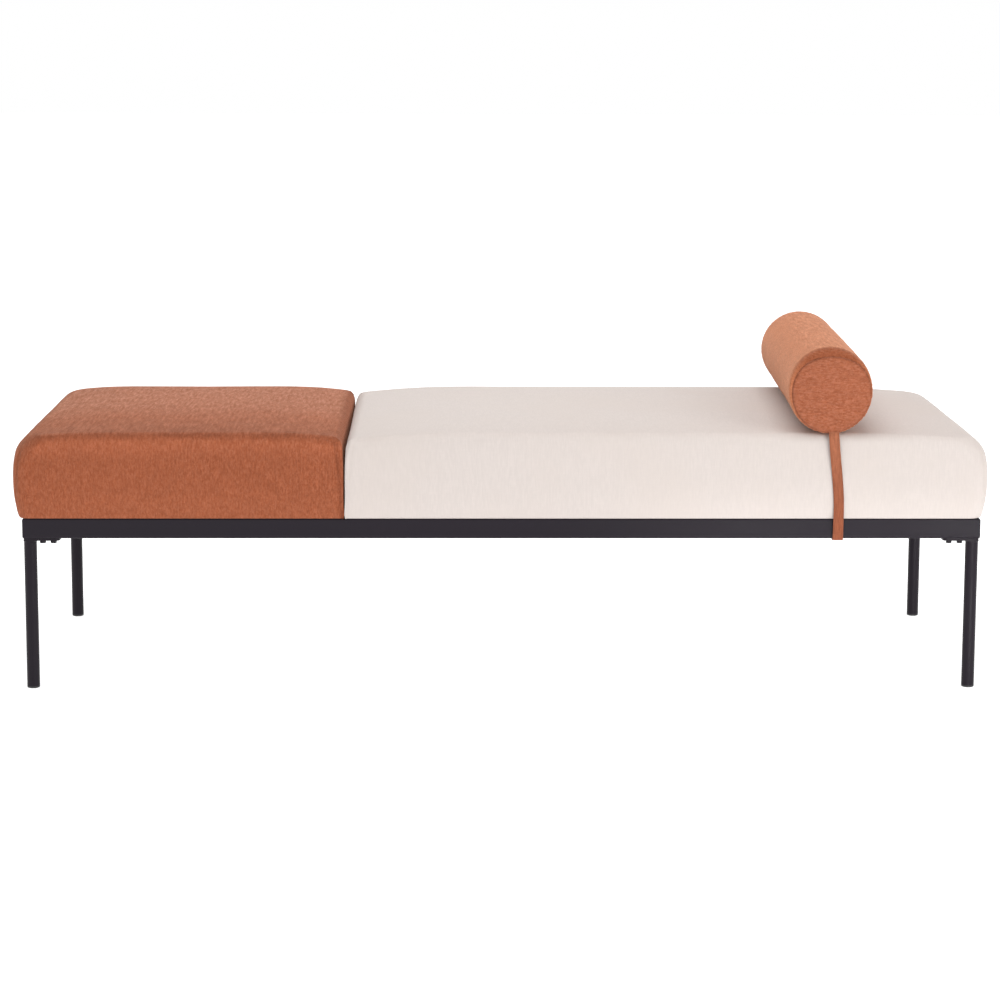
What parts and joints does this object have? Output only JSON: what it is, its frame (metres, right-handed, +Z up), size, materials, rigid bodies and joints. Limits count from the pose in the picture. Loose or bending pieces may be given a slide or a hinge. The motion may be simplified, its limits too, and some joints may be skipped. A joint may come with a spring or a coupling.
{
  "type": "chaise longue",
  "caption": "Upholstered chaise longue: boxed seat pads on a slim black steel frame with round tube legs, and a cylindrical bolster held on by a strap.",
  "frame": {"origin": "on the floor, under the middle of the frame", "axes": "+Z up, +X along the length towards the end with the bolster, -Y towards the front side seen in the picture"},
  "size_m": [1.825, 0.6914, 0.6523],
  "materials": {
    "frame_steel": "satin black powder coat",
    "leg_steel": "satin black powder coat",
    "black_fixings": "black zinc",
    "zinc_fixings": "zinc plate",
    "foot_plastic": "moulded black plastic",
    "plywood": "sanded plywood",
    "foam": "cut foam",
    "wadding": "bonded fibre",
    "rust_fabric": "flecked chenille",
    "beige_fabric": "fine short-pile velvet",
    "bolster_fabric": "flecked chenille",
    "strap_fabric": "folded and topstitched fabric",
    "dust_cloth": "spunbonded cloth",
    "zip_tape": "woven tape with coil",
    "zip_metal": "dark antique",
    "hook_loop": "hook-and-loop tape"
  },
  "bodies": {
    "seat": {"front_rail": "frame_steel", "rear_rail": "frame_steel", "left_end_rail": "frame_steel", "right_end_rail": "frame_steel", "joint_cross_bar": "frame_steel", "middle_cross_bar": "frame_steel", "right_cross_bar": "frame_steel", "board_tabs": "frame_steel", "leg_front_left": "leg_steel", "leg_front_right": "leg_steel", "leg_rear_left": "leg_steel", "leg_rear_right": "leg_steel", "leg_plate_front_left": "leg_steel", "leg_plate_front_right": "leg_steel", "leg_plate_rear_left": "leg_steel", "leg_plate_rear_right": "leg_steel", "leg_weld_beads": "leg_steel", "leg_bolts": "black_fixings", "leg_washers": "black_fixings", "rivet_nuts": "zinc_fixings", "foot_plugs": "foot_plastic", "tab_bolts": "zinc_fixings", "bar_bolts": "zinc_fixings", "board_washers": "zinc_fixings", "rust_board": "plywood", "rust_t_nuts": "zinc_fixings", "rust_foam": "foam", "rust_wadding": "wadding", "rust_cover": "rust_fabric", "rust_dust_cover": "dust_cloth", "rust_staples": "zinc_fixings", "beige_board": "plywood", "beige_t_nuts": "zinc_fixings", "beige_foam": "foam", "beige_wadding": "wadding", "beige_cover": "beige_fabric", "beige_dust_cover": "dust_cloth", "beige_staples": "zinc_fixings"},
    "bolster": {"bolster_core": "foam", "bolster_wadding": "wadding", "bolster_tube": "bolster_fabric", "bolster_front_end": "bolster_fabric", "bolster_rear_end": "bolster_fabric", "bolster_zip": "zip_tape", "bolster_zip_slider": "zip_metal", "strap_front": "strap_fabric", "strap_rear": "strap_fabric", "strap_loop_patch": "hook_loop", "strap_hook_patch": "hook_loop"}
  },
  "joints": [
    {"name": "bolster_slide", "type": "slide", "parent": "seat", "child": "bolster", "axis": [1, 0, 0], "range_m": [-1.42, 0.18]}
  ]
}
